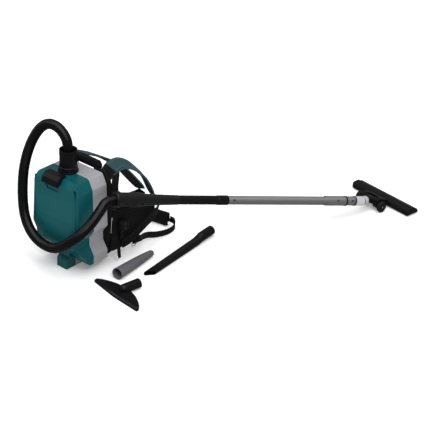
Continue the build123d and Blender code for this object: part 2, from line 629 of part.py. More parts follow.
def make_harness():
    # the right pad's outer edge hangs lower than its inner one; the left pad's does so further down
    right = ribbon(RIGHT_PAD, (0.89, 0, -0.45), RIGHT_HALF, PAD_T)
    turning = [(1, 0, 0.06)] * 6 + [(1, 0, 0.12), (1, 0, 0.2), (1, 0, 0.3), (1, 0, 0.36)] + [(1, 0, 0.4)] * 3
    left = ribbon(LEFT_PAD, turning, LEFT_HALF, PAD_T)
    add("shoulder_pads", right, left)

    webbing = []
    lower = [(86, 352, 164), (98, 357, 156), (118, 344, 150), (134, 304, 141), (141, 262, 130), (143, 219, 114),
             (143, 188, 101), (142, 160, 90), (136, 128, 82)]
    wide = [(1, 0, 0), (0.8, 0, 0.6), (0.4, 0, 1)] + [(0, 0, 1)] * 6
    webbing.append(ribbon(lower, wide, [16, 16, 17, 18, 18, 17, 17, 17, 17], 4))
    lower = [(-75, 458, 98), (-80, 461, 88), (-92, 452, 78), (-108, 420, 70), (-122, 385, 64), (-134, 345, 62),
             (-141, 300, 62), (-143, 240, 62), (-141, 190, 62), (-138, 140, 62), (-134, 104, 62)]
    wide = [(1, 0, 0), (0.8, 0.4, -0.4), (0.35, 0.2, -0.86), (0.1, 0.1, -1)] + [(0, 0, -1)] * 7
    webbing.append(ribbon(lower, wide, [16, 16, 16, 17, 18, 19, 19, 19, 19, 19, 19], 4))
    for side in (1, -1):
        lifter = [(side * 104, 128, 342), (side * 112, 119, 333), (side * 119, 109, 316), (side * 124, 103, 295),
                  (side * 125, 102, 262)]
        webbing.append(ribbon(lifter, (0.3 * side, 1, 0), 9, 3))
    tip = [(130.2, 119, 74), (130.4, 119, 60), (131, 120, 44), (132.5, 122, 26)]
    webbing.append(ribbon(tip, (0, 1, 0), [8, 8, 8, 6], 2.4))
    add("strap_webbing", *webbing)

    pad = slab_xz([(-86, 204), (-88, 314), (-72, 324), (72, 324), (88, 314), (86, 204)], 92, 110)
    add("back_pad", fillet(pad.edges().filter_by(Axis.Y), 8))
    lumbar = slab_xz([(-62, 0), (-110, 52), (-112, 118), (112, 118), (110, 52), (62, 0)], 92, 128)
    add("lumbar_pad", lumbar)

    wing = [(120.5, 100, 138), (121, 170, 134), (121, 230, 137), (118, 286, 144), (111, 326, 148)]
    near = ribbon(wing, (0, 0, 1), [77, 71, 58, 41, 25], 14)
    far = [(-120.5, 100, 66), (-122, 190, 62), (-120, 280, 54), (-104, 350, 46), (-62, 400, 38), (4, 434, 33),
           (72, 447, 31)]
    add("belt_wings", near, ribbon(far, (0, 0, 1), [44, 42, 38, 34, 31, 29, 27], 14))
    loop = [(72, 456.5, 32), (90, 460, 27), (107, 446, 18), (112, 415, 14), (107, 382, 14), (102, 344, 21),
            (104, 300, 38), (118, 258, 54), (132, 232, 64), (134.5, 206, 74)]
    add("waist_webbing", ribbon(loop, (0, 0, 1), 12.5, 2.6))
    buckle = Pos(48, 458.5, 33) * Rot(0, 0, 10.8) * Box(36, 8, 36)
    buckle = fillet(buckle.edges().filter_by(Axis.Z), 3)
    add("belt_buckles", buckle, slide_frame(137.6, 205, 74, 32), slide_frame(-146.7, 220, 62, 44))

    # metal ring that hangs from a tab behind the wing
    x, y, z, radius = 109.7, 221.0, 40.0, 13.0
    tab = block((x - 1.9, x + 1.9), (y - 7, y + 7), (z - 2.6, z + 26))
    add("ring_tab", tab - Pos(x, y, z) * Rot(90, 0, 0) * Cylinder(1.25, 40))
    arc = Pos(x, y, z) * Rot(0, 90, 0) * Torus(radius, 1.2)
    arc &= block((x - 5, x + 5), (y - 20, y + 20), (z - 20, z))
    bar = pipe((x, y - radius, z), (x, y + radius, z), 1.2)
    ends = [Pos(x, y + s * radius, z) * Sphere(1.2) for s in (1, -1)]
    add("d_ring", arc + bar + ends[0] + ends[1])

    pod = block((129.5, 151), (108, 150), (140, 184))
    pod = fillet(pod.edges(), 6) + block((128.2, 137), (120, 138), (106, 150))
    holes = {"power_button": (129, 171), "mode_button": (129, 154)}
    for name, (y, z) in holes.items():
        pod -= Pos(148, y, z) * Rot(0, 90, 0) * Cylinder(6.3, 12)
        add(name, Pos(148.2, y, z) * Rot(0, 90, 0) * Cylinder(6.0, 7.4))
    add("control_pod", pod)


def main():
    make_unit()
    make_inside()
    make_inlet()
    make_hose()
    make_wand()
    make_tubes()
    make_floor_nozzle()
    make_loose_nozzles()
    make_frame()
    make_harness()
    for name, solid in nodes.items():
        export_step(solid, f"parts/{name}.step")
    print(len(nodes), "nodes")


main()
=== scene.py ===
"""Backpack vacuum cleaner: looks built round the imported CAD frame. Metres, same frame as the CAD."""
import math
import bpy
import numpy as np
from mathutils import Matrix, Vector


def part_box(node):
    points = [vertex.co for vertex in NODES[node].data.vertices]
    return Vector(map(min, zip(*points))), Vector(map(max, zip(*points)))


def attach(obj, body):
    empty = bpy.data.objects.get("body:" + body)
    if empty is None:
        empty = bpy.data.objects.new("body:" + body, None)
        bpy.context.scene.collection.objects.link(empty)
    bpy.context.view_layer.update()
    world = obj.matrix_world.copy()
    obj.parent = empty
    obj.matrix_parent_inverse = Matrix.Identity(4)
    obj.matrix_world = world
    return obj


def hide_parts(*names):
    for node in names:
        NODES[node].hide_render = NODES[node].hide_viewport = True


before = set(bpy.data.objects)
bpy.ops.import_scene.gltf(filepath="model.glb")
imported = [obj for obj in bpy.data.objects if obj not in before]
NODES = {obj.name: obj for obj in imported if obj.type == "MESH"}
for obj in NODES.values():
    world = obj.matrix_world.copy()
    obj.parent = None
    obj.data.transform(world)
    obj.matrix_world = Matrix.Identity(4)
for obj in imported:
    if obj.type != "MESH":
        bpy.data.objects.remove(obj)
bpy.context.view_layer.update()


# ---- camera, light and floor -------------------------------------------------
CAMERA_PLACE = (3.7309, -3.7133, 3.1154)
CAMERA_RIGHT, CAMERA_UP, CAMERA_BACK = (0.7572, 0.6521, 0.0383), (-0.3409, 0.3445, 0.8747), (0.5572, -0.6754, 0.4831)
CAMERA_LENS = 141.93
FLOOR_Z = -0.0012
FLOOR_REACH = 14


def make_camera():
    data = bpy.data.cameras.new("camera")
    data.sensor_width, data.lens = 36.0, CAMERA_LENS
    data.clip_start, data.clip_end = 0.1, 60.0
    camera = bpy.data.objects.new("camera", data)
    turn = Matrix((CAMERA_RIGHT, CAMERA_UP, CAMERA_BACK)).transposed().to_4x4()
    camera.matrix_world = Matrix.Translation(CAMERA_PLACE) @ turn
    bpy.context.scene.collection.objects.link(camera)
    bpy.context.scene.camera = camera


def make_light(name, place, target, size, power):
    """Rectangular lamp at a place, aimed at the target."""
    data = bpy.data.lights.new(name, "AREA")
    data.shape, data.size, data.size_y = "RECTANGLE", size[0], size[1]
    data.energy = power
    light = bpy.data.objects.new(name, data)
    light.location = place
    light.rotation_euler = (Vector(target) - Vector(place)).to_track_quat("-Z", "Y").to_euler()
    bpy.context.scene.collection.objects.link(light)


def make_stage():
    """White floor, soft sky, and lamps. The floor glows weakly and is kept out of reflections, to keep blacks dark."""
    mesh = bpy.data.meshes.new("floor")
    corners = [(-FLOOR_REACH, -FLOOR_REACH), (FLOOR_REACH, -FLOOR_REACH), (FLOOR_REACH, FLOOR_REACH + 2),
               (-FLOOR_REACH, FLOOR_REACH + 2)]
    mesh.from_pydata([(x, y, FLOOR_Z) for x, y in corners], [], [(0, 1, 2, 3)])
    floor = bpy.data.objects.new("floor", mesh)
    bpy.context.scene.collection.objects.link(floor)
    paint = bpy.data.materials.new("floor_paint")
    paint.use_nodes = True
    shader = paint.node_tree.nodes["Principled BSDF"]
    shader.inputs["Base Color"].default_value = (0.93, 0.93, 0.93, 1)
    shader.inputs["Roughness"].default_value = 0.9
    shader.inputs["Specular IOR Level"].default_value = 0.1
    shader.inputs["Emission Color"].default_value = (1, 1, 1, 1)
    shader.inputs["Emission Strength"].default_value = 0.16
    mesh.materials.append(paint)
    floor.visible_glossy = False
    world = bpy.data.worlds.new("studio")
    bpy.context.scene.world = world
    world.use_nodes = True
    # the studio is darker near the horizon than overhead
    tree = world.node_tree
    sky = tree.nodes["Background"]
    where = tree.nodes.new("ShaderNodeTexCoord")
    split = tree.nodes.new("ShaderNodeSeparateXYZ")
    tree.links.new(where.outputs["Generated"], split.inputs[0])
    ramp = tree.nodes.new("ShaderNodeValToRGB")
    ramp.color_ramp.elements[0].position, ramp.color_ramp.elements[0].color = 0.35, (0.5, 0.5, 0.5, 1)
    ramp.color_ramp.elements[1].position, ramp.color_ramp.elements[1].color = 0.85, (1, 1, 1, 1)
    tree.links.new(split.outputs[2], ramp.inputs[0])
    tree.links.new(ramp.outputs[0], sky.inputs[0])
    sky.inputs[1].default_value = 0.42
    bpy.context.scene.view_settings.view_transform = "Standard"
    sun = bpy.data.lights.new("overhead", "SUN")
    sun.energy, sun.angle = 2.7, math.radians(70)
    overhead = bpy.data.objects.new("overhead", sun)
    overhead.rotation_euler = (math.radians(14), math.radians(10), 0)
    bpy.context.scene.collection.objects.link(overhead)
    make_light("key", (2.4, -1.2, 2.6), (0.1, 0.2, 0.2), (0.5, 0.5), 26)
    make_light("fill", (-2.6, -1.4, 2.2), (0, 0.1, 0.3), (0.35, 0.9), 14)


# ---- material kit --------------------------------------------------------------
class Paint:
    """One procedural material on a Principled shader."""

    def __init__(self, name, colour, rough, metal=0.0, spec=0.5, **sockets):
        self.material = bpy.data.materials.new(name)
        self.material.use_nodes = True
        self.tree = self.material.node_tree
        self.shader = self.tree.nodes["Principled BSDF"]
        self.set("Base Color", (*colour, 1))
        self.set("Roughness", rough)
        self.set("Metallic", metal)
        self.set("Specular IOR Level", spec)
        for key, value in sockets.items():
            self.set(key.replace("_", " "), value)
        self.height = None

    def set(self, socket, value):
        self.shader.inputs[socket].default_value = value

    def node(self, kind, **values):
        made = self.tree.nodes.new(kind)
        for key, value in values.items():
            if key.startswith("in_"):
                made.inputs[key[3:].replace("_", " ")].default_value = value
            else:
                setattr(made, key, value)
        return made

    def link(self, a, b):
        self.tree.links.new(a, b)

    def coords(self, kind="Object", scale=(1, 1, 1), turn=(0, 0, 0)):
        source = self.node("ShaderNodeTexCoord")
        place = self.node("ShaderNodeMapping")
        place.inputs["Scale"].default_value = scale
        place.inputs["Rotation"].default_value = turn
        self.link(source.outputs[kind], place.inputs["Vector"])
        return place.outputs["Vector"]

    def noise(self, scale, detail=3.0, rough=0.55, where=None):
        made = self.node("ShaderNodeTexNoise", in_Scale=scale, in_Detail=detail, in_Roughness=rough)
        self.link(where or self.coords(), made.inputs["Vector"])
        return made.outputs["Fac"]

    def math(self, operation, a, b=None):
        made = self.node("ShaderNodeMath", operation=operation)
        for k, value in enumerate((a, b)):
            if value is None:
                continue
            if isinstance(value, (int, float)):
                made.inputs[k].default_value = value
            else:
                self.link(value, made.inputs[k])
        return made.outputs[0]

    def remap(self, value, low, high, to_low, to_high):
        made = self.node("ShaderNodeMapRange")
        for k, v in enumerate((low, high, to_low, to_high)):
            made.inputs[k + 1].default_value = v
        self.link(value, made.inputs[0])
        return made.outputs[0]

    def tint(self, factor, dark, light):
        """Colour that goes from dark to light with the factor."""
        ramp = self.node("ShaderNodeValToRGB")
        ramp.color_ramp.elements[0].color = (*dark, 1)
        ramp.color_ramp.elements[1].color = (*light, 1)
        self.link(factor, ramp.inputs[0])
        return ramp.outputs[0]

    def mix(self, factor, a, b):
        made = self.node("ShaderNodeMix", data_type="RGBA")
        for value, socket in ((factor, made.inputs[0]), (a, made.inputs[6]), (b, made.inputs[7])):
            if isinstance(value, tuple):
                socket.default_value = (*value, 1)
            elif isinstance(value, (int, float)):
                socket.default_value = value
            else:
                self.link(value, socket)
        return made.outputs[2]

    def bump(self, height, strength, distance):
        made = self.node("ShaderNodeBump", in_Strength=strength, in_Distance=distance)
        self.link(height, made.inputs["Height"])
        if self.height is not None:
            self.link(self.height, made.inputs["Normal"])
        self.height = made.outputs["Normal"]
        self.link(self.height, self.shader.inputs["Normal"])

    def colour_from(self, output):
        self.link(output, self.shader.inputs["Base Color"])

    def rough_from(self, output):
        self.link(output, self.shader.inputs["Roughness"])


def shade(colour, factor):
    return tuple(min(1.0, c * factor) for c in colour)


def moulded(name, colour, rough, grain=0.25, grain_scale=2600.0, spec=0.5, **sockets):
    """Injection-moulded plastic: fine grain, uneven gloss, slight tone changes and scuffs."""
    p = Paint(name, colour, rough, spec=spec, **sockets)
    cloud = p.noise(14.0, 4.0)
    scuff = p.noise(1.0, 5.0, 0.7, where=p.coords(scale=(160, 160, 60)))
    mask = p.remap(scuff, 0.62, 0.75, 0.0, 1.0)
    base = p.tint(cloud, shade(colour, 0.88), shade(colour, 1.12))
    p.base = p.mix(p.math("MULTIPLY", mask, 0.08), base, shade(colour, 1.8))
    p.colour_from(p.base)
    gloss = p.remap(cloud, 0.3, 0.7, rough * 0.88, rough * 1.12)
    p.rough_from(p.math("ADD", gloss, p.math("MULTIPLY", mask, 0.08)))
    p.bump(p.noise(grain_scale, 2.0), grain, 0.00006)
    return p


def cloth_paint(name, colour, rough, pitch, weave="plain", stitch=None, stitch_at=0.005, fuzz=0.03):
    """Woven cloth. UVs are metres: along the strip, and in from its edge."""
    p = Paint(name, colour, rough, spec=0.08, Sheen_Weight=fuzz, Sheen_Roughness=0.5)
    uv = p.coords("UV")
    split = p.node("ShaderNodeSeparateXYZ")
    p.link(uv, split.inputs[0])
    along, across = split.outputs[0], split.outputs[1]
    turn = 2 * math.pi / pitch
    if weave == "ribbed":
        zig = p.math("PINGPONG", across, 0.003)
        a = p.math("SINE", p.math("ADD", p.math("MULTIPLY", along, turn), p.math("MULTIPLY", zig, 900.0)))
        b = p.math("SINE", p.math("MULTIPLY", across, turn * 0.8))
        height = p.math("ADD", p.math("MULTIPLY", a, 0.35), p.math("MULTIPLY", b, 0.15))
    else:
        a = p.math("SINE", p.math("MULTIPLY", along, turn))
        b = p.math("SINE", p.math("MULTIPLY", across, turn))
        height = p.math("MULTIPLY", p.math("MULTIPLY", a, b), 0.5)
    height = p.math("ADD", height, 0.5)
    cloud = p.noise(22.0, 4.0)
    base = p.tint(cloud, shade(colour, 0.8), shade(colour, 1.22))
    # painted highlight and shade: the raised threads are painted lighter and the hollows of the weave darker
    base = p.mix(p.math("MULTIPLY", height, 0.35), base, shade(colour, 1.7))
    if stitch:
        near = p.math("LESS_THAN", p.math("ABSOLUTE", p.math("SUBTRACT", across, stitch_at)), 0.0006)
        dash = p.math("GREATER_THAN", p.math("SINE", p.math("MULTIPLY", along, 2 * math.pi / 0.0044)), -0.35)
        line = p.math("MULTIPLY", near, dash)
        base = p.mix(line, base, stitch)
        height = p.math("ADD", height, p.math("MULTIPLY", line, 2.0))
    p.colour_from(base)
    p.rough_from(p.remap(cloud, 0.3, 0.7, rough * 0.92, min(1.0, rough * 1.08)))
    p.bump(height, 0.55, 0.00035)
    p.bump(p.noise(130.0, 3.0), 0.12, 0.0012)
    return p


def make_materials():
    made = {}
    p = moulded("teal_gloss", (0.0026, 0.072, 0.080), 0.20, grain=0.06, spec=0.32)
    made["teal_plastic"] = p.material
    p = moulded("teal_cover", (0.0022, 0.078, 0.087), 0.18, grain=0.06, spec=0.32)
    # painted highlight: the recessed panel and a low band across the cover front are painted a lighter teal
    where = p.node("ShaderNodeSeparateXYZ")
    p.link(p.coords(), where.inputs[0])
    x, y, z = where.outputs
    tilted = p.math("SUBTRACT", z, p.math("MULTIPLY", x, 0.14))
    panel_highlight = p.math("MULTIPLY", p.remap(tilted, 0.2180, 0.2200, 0, 1), p.remap(tilted, 0.2990, 0.2975, 0, 1))
    panel_highlight = p.math("MULTIPLY", panel_highlight, p.remap(p.math("ABSOLUTE", x), 0.0885, 0.0875, 0, 1))
    panel_highlight = p.math("MULTIPLY", panel_highlight, p.remap(y, -0.0738, -0.0742, 0, 1))
    low = p.math("MULTIPLY", p.remap(z, 0.190, 0.192, 0, 1), p.remap(z, 0.2115, 0.2105, 0, 1))
    low = p.math("MULTIPLY", low, p.remap(p.math("ABSOLUTE", x), 0.082, 0.078, 0, 1))
    # the lighter teal of the painted highlight is mixed in at 15%
    p.colour_from(p.mix(p.math("MULTIPLY", p.math("MAXIMUM", panel_highlight, low), 0.15), p.base, (0.014, 0.105, 0.112)))
    made["teal_cover"] = p.material
    made["grey_plastic"] = moulded("grey_shell", (0.300, 0.294, 0.312), 0.45, grain=0.35, spec=0.3).material
    made["black_plastic"] = moulded("black_moulding", (0.0050, 0.0050, 0.0056), 0.32, grain=0.30, spec=0.14).material
    made["dark_grey_plastic"] = moulded("dark_moulding", (0.016, 0.016, 0.0175), 0.36, grain=0.3, spec=0.25).material
    made["clear_grey_plastic"] = moulded("grey_nozzle", (0.115, 0.115, 0.125), 0.34, grain=0.25, spec=0.35).material
    made["rubber"] = moulded("wheel_rubber", (0.008, 0.008, 0.008), 0.6, grain=0.6, spec=0.15).material
    made["hose_rubber"] = moulded("hose_skin", (0.0022, 0.0022, 0.0026), 0.26, grain=0.12, spec=0.20).material
    made["grip_plastic"] = moulded("grip_gloss", (0.0060, 0.0060, 0.0066), 0.16, grain=0.06, spec=0.40).material
    made["pale_plastic"] = moulded("pale_elbow", (0.46, 0.45, 0.47), 0.34, grain=0.2, spec=0.4).material
    p = Paint("drawn_aluminium", (0.62, 0.61, 0.63), 0.3, metal=1.0)
    streak = p.noise(1.0, 4.0, where=p.coords(scale=(700, 40, 700), turn=(0.0, 0.0, -0.36)))
    p.rough_from(p.remap(streak, 0.3, 0.7, 0.33, 0.40))
    p.colour_from(p.tint(streak, (0.50, 0.495, 0.505), (0.58, 0.57, 0.585)))
    p.bump(streak, 0.03, 0.00003)
    made["aluminium"] = p.material
    p = Paint("machined_steel", (0.55, 0.55, 0.57), 0.3, metal=1.0)
    p.rough_from(p.remap(p.noise(900.0), 0.3, 0.7, 0.24, 0.4))
    p.colour_from(p.tint(p.noise(60.0), (0.48, 0.48, 0.5), (0.6, 0.6, 0.62)))
    made["steel"] = p.material
    p = Paint("plated_ring", (0.82, 0.82, 0.84), 0.12, metal=1.0)
    p.rough_from(p.remap(p.noise(300.0), 0.3, 0.7, 0.08, 0.2))
    p.colour_from(p.tint(p.noise(90.0), (0.74, 0.74, 0.76), (0.86, 0.86, 0.88)))
    made["ring_steel"] = p.material
    made["black_fabric"] = cloth_paint("pad_cloth", (0.0042, 0.0042, 0.0048), 0.82, 0.0014,
                                       stitch=(0.022, 0.022, 0.024), stitch_at=0.0075).material
    made["teal_fabric"] = cloth_paint("teal_cloth", (0.021, 0.050, 0.056), 0.62, 0.0013,
                                      stitch=(0.11, 0.17, 0.18), stitch_at=0.0075).material
    made["binding"] = cloth_paint("binding_tape", (0.0060, 0.0060, 0.0066), 0.78, 0.0011, "ribbed").material
    made["teal_binding"] = cloth_paint("teal_tape", (0.030, 0.068, 0.075), 0.6, 0.0011, "ribbed").material
    made["webbing"] = cloth_paint("strap_weave", (0.0036, 0.0036, 0.0042), 0.74, 0.0018, "ribbed",
                                  stitch=(0.012, 0.012, 0.013), stitch_at=0.0028).material
    made["bag_fabric"] = cloth_paint("bag_fleece", (0.60, 0.585, 0.54), 0.92, 0.0008,
                                     stitch=(0.42, 0.41, 0.38), stitch_at=0.0060, fuzz=0.4).material

    p = Paint("air_mesh", (0.006, 0.006, 0.007), 0.85, spec=0.08, Sheen_Weight=0.04)
    cells = p.node("ShaderNodeTexVoronoi", in_Scale=300.0, in_Randomness=0.25)
    p.link(p.coords(), cells.inputs["Vector"])
    hole = p.remap(cells.outputs["Distance"], 0.25, 0.42, 0.0, 1.0)
    # painted shade: the holes of the mesh are painted darker than the threads round them
    p.colour_from(p.tint(hole, (0.0012, 0.0012, 0.0015), (0.010, 0.010, 0.0115)))
    p.bump(hole, 0.7, 0.0007)
    p.rough_from(p.remap(p.noise(40.0), 0.3, 0.7, 0.78, 0.92))
    made["air_mesh"] = p.material

    p = Paint("pleated_paper", (0.72, 0.70, 0.64), 0.9, spec=0.2)
    fibres = p.noise(1.0, 5.0, 0.7, where=p.coords(scale=(900, 260, 900)))
    p.colour_from(p.tint(fibres, (0.58, 0.56, 0.50), (0.78, 0.76, 0.71)))
    p.rough_from(p.remap(fibres, 0.3, 0.7, 0.82, 0.96))
    p.bump(fibres, 0.4, 0.0002)
    made["filter_paper"] = p.material

    p = Paint("card", (0.40, 0.30, 0.19), 0.85, spec=0.2)
    fibres = p.noise(700.0, 5.0, 0.7)
    p.colour_from(p.tint(fibres, (0.33, 0.245, 0.15), (0.46, 0.35, 0.23)))
    p.rough_from(p.remap(fibres, 0.3, 0.7, 0.78, 0.92))
    p.bump(fibres, 0.3, 0.0001)
    made["card"] = p.material

    p = Paint("winding", (0.45, 0.17, 0.07), 0.32, metal=1.0)
    turns = p.node("ShaderNodeTexWave", in_Scale=420.0, in_Distortion=0.6, bands_direction="Z")
    p.link(p.coords(), turns.inputs["Vector"])
    # painted shade: the gaps between the wire turns are painted darker than the crests
    p.colour_from(p.tint(turns.outputs["Fac"], (0.20, 0.07, 0.03), (0.58, 0.25, 0.11)))
    p.rough_from(p.remap(turns.outputs["Fac"], 0.0, 1.0, 0.5, 0.25))
    p.bump(turns.outputs["Fac"], 0.6, 0.0003)
    made["copper"] = p.material

    p = Paint("circuit_board", (0.006, 0.07, 0.03), 0.4)
    tracks = p.node("ShaderNodeTexBrick", in_Scale=180.0)
    tracks.inputs["Color1"].default_value = (0.005, 0.06, 0.027, 1)
    tracks.inputs["Color2"].default_value = (0.008, 0.085, 0.040, 1)
    tracks.inputs["Mortar"].default_value = (0.05, 0.22, 0.10, 1)
    p.link(p.coords(turn=(0, 1.5708, 0)), tracks.inputs["Vector"])
    p.colour_from(tracks.outputs["Color"])
    p.rough_from(p.remap(p.noise(200.0), 0.3, 0.7, 0.3, 0.5))
    p.bump(tracks.outputs["Fac"], 0.3, 0.0001)
    made["board_green"] = p.material

    p = Paint("brush_hair", (0.02, 0.02, 0.02), 0.6, spec=0.3)
    hairs = p.noise(1.0, 4.0, 0.7, where=p.coords(scale=(2600, 2600, 60)))
    p.colour_from(p.tint(hairs, (0.006, 0.006, 0.006), (0.06, 0.06, 0.06)))
    p.rough_from(p.remap(hairs, 0.3, 0.7, 0.5, 0.75))
    p.bump(hairs, 0.9, 0.0008)
    made["bristle"] = p.material
    return made


EDGES = {"front_housing": 0.0030, "rear_housing": 0.0024, "exhaust_grille": 0.0004, "front_cover": 0.0007,
         "cover_latch": 0.0018, "latch_claw": 0.0006, "inlet_cuff": 0.0008, "inlet_flange": 0.0006,
         "hose_end_cuff": 0.0008, "back_frame": 0.0014, "carry_handle": 0.0030, "control_pod": 0.0008,
         "power_button": 0.0008, "mode_button": 0.0008, "wand_grip": 0.0008, "grip_tube": 0.0005,
         "upper_tube": 0.0004, "lower_tube": 0.0004, "joint_rings": 0.0006, "nozzle_shell": 0.0016,
         "nozzle_sole": 0.0004, "nozzle_elbow": 0.0006, "nozzle_neck": 0.0006, "left_wheel": 0.0012,
         "right_wheel": 0.0012, "crevice_nozzle": 0.0007, "taper_nozzle": 0.0006, "fan_nozzle": 0.0009,
         "belt_buckles": 0.0008, "suction_slider": 0.0005, "cuff_button": 0.0005, "upper_lock_button": 0.0005,
         "lower_lock_button": 0.0005, "cover_seal": 0.0004, "filter_deck": 0.0006, "fine_filter": 0.0006,
         "prefilter_frame": 0.0006, "motor_housing": 0.0006, "motor_mount_rings": 0.0005, "motor_stator": 0.0004,
         "motor_rotor": 0.0004, "impeller": 0.0003, "control_board": 0.0003, "battery_terminals": 0.0005,
         "frame_screws": 0.0005, "bristle_strips": 0.0003, "head_pins": 0.0005, "latch_pin": 0.0004}


OWN_PAINT = {"front_cover": "teal_cover", "nozzle_elbow": "pale_plastic", "wand_grip": "grip_plastic",
             "hose_end_cuff": "grip_plastic"}


def dress_nodes(paints):
    for name, obj in NODES.items():
        for slot in obj.material_slots:
            slot.material = paints[OWN_PAINT.get(name, slot.material.name)]
        if name in EDGES:
            soften(obj, EDGES[name])


def soften(obj, width, segments=3, angle=30.0):
    """Rounded edges on a CAD node, as modifiers only."""
    weld = obj.modifiers.new("weld", "WELD")
    weld.merge_threshold = 1e-5
    flat = obj.modifiers.new("flat", "DECIMATE")
    flat.decimate_type, flat.angle_limit = "DISSOLVE", math.radians(0.6)
    bevel = obj.modifiers.new("bevel", "BEVEL")
    bevel.width, bevel.segments, bevel.limit_method = width, segments, "ANGLE"
    bevel.angle_limit = math.radians(angle)
    bevel.harden_normals = False
    normals = obj.modifiers.new("normals", "WEIGHTED_NORMAL")
    normals.keep_sharp = False


# ---- hose ------------------------------------------------------------------------
HOSE_ROUTE = [(-.008, .004, .427), (-.008, .004, .462), (-.017, .003, .498), (-.050, 0, .527),
              (-.093, -.005, .531), (-.128, -.013, .505), (-.150, -.030, .458), (-.155, -.054, .405),
              (-.152, -.074, .350), (-.146, -.086, .290), (-.139, -.092, .232), (-.124, -.098, .182),
              (-.084, -.108, .140), (-.030, -.112, .118), (.030, -.112, .119), (.080, -.112, .148),
              (.120, -.101, .186), (.143, -.072, .216), (.151, -.032, .247), (.149, .004, .273),
              (.1431, .0428, .2995), (.1617, .0920, .2874)]
HOSE_D = 0.037
RIB_PITCH = 0.0044
RIB_DEPTH = 0.0007


def spline_line(points):
    """Points along the NURBS spline that has the route's points as its control points."""
    data = bpy.data.curves.new("route", "CURVE")
    data.dimensions = "3D"
    spline = data.splines.new("NURBS")
    spline.points.add(len(points) - 1)
    for control, p in zip(spline.points, points):
        control.co = (*p, 1.0)
    spline.order_u = 3
    spline.use_endpoint_u = True
    data.resolution_u = 24
    obj = bpy.data.objects.new("route", data)
    bpy.context.scene.collection.objects.link(obj)
    bpy.context.view_layer.update()
    mesh = bpy.data.meshes.new_from_object(obj)
    line = np.array([v.co for v in mesh.vertices])
    bpy.data.objects.remove(obj)
    bpy.data.meshes.remove(mesh)
    return line


def evenly(line, step):
    """The same line with stations at even distances."""
    runs = np.linalg.norm(np.diff(line[:, :3], axis=0), axis=1)
    keep = np.concatenate(([True], runs > 1e-9))
    line, runs = line[keep], runs[runs > 1e-9]
    far = np.concatenate(([0.0], np.cumsum(runs)))
    count = max(2, int(round(far[-1] / step)) + 1)
    stations = np.linspace(0.0, far[-1], count)
    return np.stack([np.interp(stations, far, line[:, k]) for k in range(line.shape[1])], axis=1), stations


def unit(v):
    return v / np.maximum(np.linalg.norm(v, axis=-1, keepdims=True), 1e-12)


def tangents(line):
    return unit(np.gradient(line, axis=0))


def new_piece(name, points, faces, materials, picks, uvs):
    """Smooth mesh object; picks gives each face's material, uvs each face corner's place."""
    mesh = bpy.data.meshes.new(name)
    mesh.from_pydata([tuple(p) for p in points], [], faces)
    for material in materials:
        mesh.materials.append(material)
    mesh.polygons.foreach_set("material_index", picks)
    layer = mesh.uv_layers.new(name="UVMap")
    layer.data.foreach_set("uv", np.array(uvs, dtype=np.float32).ravel())
    mesh.polygons.foreach_set("use_smooth", [True] * len(mesh.polygons))
    mesh.update()
    obj = bpy.data.objects.new(name, mesh)
    bpy.context.scene.collection.objects.link(obj)
    return obj


def loft(name, rings, stations, girth, materials, picks=None, caps=True):
    """Skin over rings of points. girth gives each ring point's distance round the section, for the UVs."""
    rows, around = rings.shape[:2]
    points = rings.reshape(-1, 3)
    faces, uvs, chosen = [], [], []
    for i in range(rows - 1):
        near, far = stations[i], stations[i + 1]
        for k in range(around):
            n = (k + 1) % around
            faces.append((i * around + k, i * around + n, (i + 1) * around + n, (i + 1) * around + k))
            uvs += [(near, girth[k]), (near, girth[k + 1]), (far, girth[k + 1]), (far, girth[k])]
            chosen.append(picks(i, k) if picks else 0)
    if caps:
        for start, order in ((0, -1), ((rows - 1) * around, 1)):
            faces.append(tuple(start + k for k in range(around))[::order])
            uvs += [(0.0, 0.02)] * around
            chosen.append(picks(0 if start == 0 else rows - 2, 0) if picks else 0)
    return new_piece(name, points, faces, materials, chosen, uvs)


def tube(name, line, radii, materials, segments):
    """Tube round a line, with one radius for each point of the line."""
    along = tangents(line)
    side = np.zeros_like(line)
    side[0] = unit(np.cross(along[0], (0.3, 0.5, 0.8)))
    for i in range(1, len(line)):
        side[i] = unit(side[i - 1] - along[i] * np.dot(side[i - 1], along[i]))
    up = np.cross(along, side)
    angles = np.linspace(0, 2 * math.pi, segments, endpoint=False)
    rings = (line[:, None, :] + radii[:, None, None] * (np.cos(angles)[None, :, None] * side[:, None, :]
             + np.sin(angles)[None, :, None] * up[:, None, :]))
    runs = np.linalg.norm(np.diff(line, axis=0), axis=1)
    stations = np.concatenate(([0.0], np.cumsum(runs)))
    girth = np.linspace(0, 2 * math.pi * float(radii.max()), segments + 1)
    return loft(name, rings, stations, girth, materials)


def make_hose(paints):
    route = spline_line(HOSE_ROUTE)
    line, far = evenly(route, RIB_PITCH / 4)
    ribs = np.cos(2 * math.pi * far / RIB_PITCH)
    radii = HOSE_D / 2 - RIB_DEPTH * (0.5 - 0.5 * ribs)
    hose = tube("ribbed_hose", line, radii, [paints["hose_rubber"]], segments=32)
    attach(hose, "root")
    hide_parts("hose")


# ---- strips: pads, wings and webbing ------------------------------------------------
def smooth_rows(rows, step):
    """Catmull-Rom curve through the rows, at even distances.

    Rows are x, y, z, half width, then the width's direction.
    """
    rows = np.array(rows, dtype=float)
    ends = np.vstack([2 * rows[0] - rows[1], rows, 2 * rows[-1] - rows[-2]])
    dense = []
    for i in range(1, len(ends) - 2):
        a, b, c, d = ends[i - 1], ends[i], ends[i + 1], ends[i + 2]
        for t in np.linspace(0, 1, 16, endpoint=False):
            dense.append(0.5 * (2 * b + (c - a) * t + (2 * a - 5 * b + 4 * c - d) * t ** 2
                                + (3 * b - a - 3 * c + d) * t ** 3))
    dense.append(rows[-1])
    return evenly(np.array(dense), step)


def strip_frame(rows):
    line, half = rows[:, :3], rows[:, 3]
    along = tangents(line)
    across = unit(rows[:, 4:7] - along * np.sum(rows[:, 4:7] * along, axis=1, keepdims=True))
    return line, half, along, across, np.cross(along, across)


